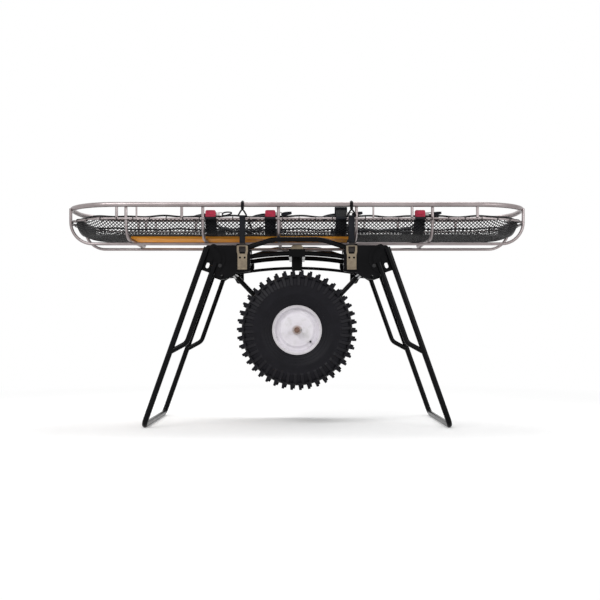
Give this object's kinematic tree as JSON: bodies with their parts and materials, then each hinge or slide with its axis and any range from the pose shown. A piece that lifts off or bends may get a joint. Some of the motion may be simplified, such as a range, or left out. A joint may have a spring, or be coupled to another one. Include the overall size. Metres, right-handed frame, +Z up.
{
  "type": "wheeled basket litter",
  "caption": "Steel basket stretcher with wood slats, netting and restraint straps, tied onto a wheeled carrier whose U-shaped handles swing down as legs.",
  "frame": {"origin": "on the floor under the middle of the litter, between the two handle feet", "axes": "+X towards the foot end of the litter, +Y towards the far side, +Z up"},
  "size_m": [2.134, 0.6788, 1.0111],
  "materials": {
    "stainless": "brushed stainless tube with a faint warm tint",
    "netting": "dark diamond netting",
    "wood": "varnished orange wood",
    "screws": "plain steel",
    "pads": "dark padded cover",
    "webbing": "near-black webbing",
    "buckle_black": "moulded black",
    "button_red": "red push button",
    "carrier_black": "gloss black powder coat",
    "rubber": "black rubber",
    "zinc": "yellowish zinc plate",
    "blackened": "blackened strap fitting",
    "axle_steel": "oiled steel",
    "knob": "black hand knob",
    "tyre": "black lug-tread rubber",
    "rim_white": "white painted steel rim"
  },
  "bodies": {
    "carrier": {"axle": "axle_steel", "axle_housing": "carrier_black", "axle_struts": "carrier_black", "axle_washers": "screws", "buckle_housings": "buckle_black", "buckle_tongues": "screws", "centre_beam": "carrier_black", "centre_clamp": "zinc", "centre_post": "carrier_black", "cradle_arches": "carrier_black", "cross_beams": "carrier_black", "d_rings": "carrier_black", "end_pads": "pads", "foot_bow": "stainless", "head_bow": "stainless", "hub_plates": "carrier_black", "latch_bases": "carrier_black", "lower_arch": "carrier_black", "lynch_pins": "screws", "mid_arches": "carrier_black", "net_rail": "stainless", "netting": "netting", "patient_webbing": "webbing", "pivot_bolts": "carrier_black", "rail_hooks": "carrier_black", "rail_posts": "stainless", "ribs": "stainless", "runners": "stainless", "saddle_beams": "carrier_black", "saddle_pads": "rubber", "slat_screws": "screws", "slats": "wood", "strap_anchors": "carrier_black", "strap_keepers": "blackened", "tie_straps": "webbing", "top_rail_far": "stainless", "top_rail_near": "stainless"},
    "wheel_near": {"tyre_near": "tyre", "rim_near": "rim_white", "valve_near": "rubber"},
    "wheel_far": {"tyre_far": "tyre", "rim_far": "rim_white", "valve_far": "rubber"},
    "head_handle": {"head_handle_tube": "carrier_black", "head_handle_braces": "carrier_black", "head_index_plates": "carrier_black"},
    "foot_handle": {"foot_handle_tube": "carrier_black", "foot_handle_braces": "carrier_black", "foot_index_plates": "carrier_black"},
    "clamp_knob_head_near": {"clamp_knob_head_near": "knob"},
    "clamp_knob_head_far": {"clamp_knob_head_far": "knob"},
    "latch_lever_head": {"latch_lever_head": "zinc"},
    "clamp_knob_foot_near": {"clamp_knob_foot_near": "knob"},
    "clamp_knob_foot_far": {"clamp_knob_foot_far": "knob"},
    "latch_lever_foot": {"latch_lever_foot": "zinc"},
    "release_button_1": {"release_button_1": "button_red"},
    "release_button_2": {"release_button_2": "button_red"},
    "release_button_3": {"release_button_3": "button_red"},
    "release_button_4": {"release_button_4": "button_red"}
  },
  "joints": [
    {"name": "wheel_near_spin", "type": "hinge", "parent": "carrier", "child": "wheel_near", "pos_m": [0, -0.15, 0.43587], "axis": [0, 1, 0], "continuous": true},
    {"name": "wheel_far_spin", "type": "hinge", "parent": "carrier", "child": "wheel_far", "pos_m": [0, 0.15, 0.43587], "axis": [0, 1, 0], "continuous": true},
    {"name": "head_handle_swing", "type": "hinge", "parent": "carrier", "child": "head_handle", "pos_m": [-0.387, 0, 0.75287], "axis": [0, 1, 0], "range_deg": [0, 98]},
    {"name": "foot_handle_swing", "type": "hinge", "parent": "carrier", "child": "foot_handle", "pos_m": [0.387, 0, 0.75287], "axis": [0, -1, 0], "range_deg": [0, 98]},
    {"name": "clamp_knob_head_near_turn", "type": "hinge", "parent": "carrier", "child": "clamp_knob_head_near", "pos_m": [-0.34277, -0.2995, 0.7219], "axis": [0, -1, 0], "range_deg": [0, 360]},
    {"name": "clamp_knob_head_far_turn", "type": "hinge", "parent": "carrier", "child": "clamp_knob_head_far", "pos_m": [-0.34277, 0.2995, 0.7219], "axis": [0, 1, 0], "range_deg": [0, 360]},
    {"name": "latch_lever_head_open", "type": "hinge", "parent": "carrier", "child": "latch_lever_head", "pos_m": [-0.243, -0.317, 0.70787], "axis": [1, 0, 0], "range_deg": [0, 100]},
    {"name": "clamp_knob_foot_near_turn", "type": "hinge", "parent": "carrier", "child": "clamp_knob_foot_near", "pos_m": [0.34277, -0.2995, 0.7219], "axis": [0, -1, 0], "range_deg": [0, 360]},
    {"name": "clamp_knob_foot_far_turn", "type": "hinge", "parent": "carrier", "child": "clamp_knob_foot_far", "pos_m": [0.34277, 0.2995, 0.7219], "axis": [0, 1, 0], "range_deg": [0, 360]},
    {"name": "latch_lever_foot_open", "type": "hinge", "parent": "carrier", "child": "latch_lever_foot", "pos_m": [0.243, -0.317, 0.70787], "axis": [1, 0, 0], "range_deg": [0, 100]},
    {"name": "release_button_1_press", "type": "slide", "parent": "carrier", "child": "release_button_1", "axis": [0, 1, 0], "range_m": [0, 0.003], "stiffness_N_per_m": 600},
    {"name": "release_button_2_press", "type": "slide", "parent": "carrier", "child": "release_button_2", "axis": [0, 1, 0], "range_m": [0, 0.003], "stiffness_N_per_m": 600},
    {"name": "release_button_3_press", "type": "slide", "parent": "carrier", "child": "release_button_3", "axis": [0, 1, 0], "range_m": [0, 0.003], "stiffness_N_per_m": 600},
    {"name": "release_button_4_press", "type": "slide", "parent": "carrier", "child": "release_button_4", "axis": [0, 1, 0], "range_m": [0, 0.003], "stiffness_N_per_m": 600}
  ]
}
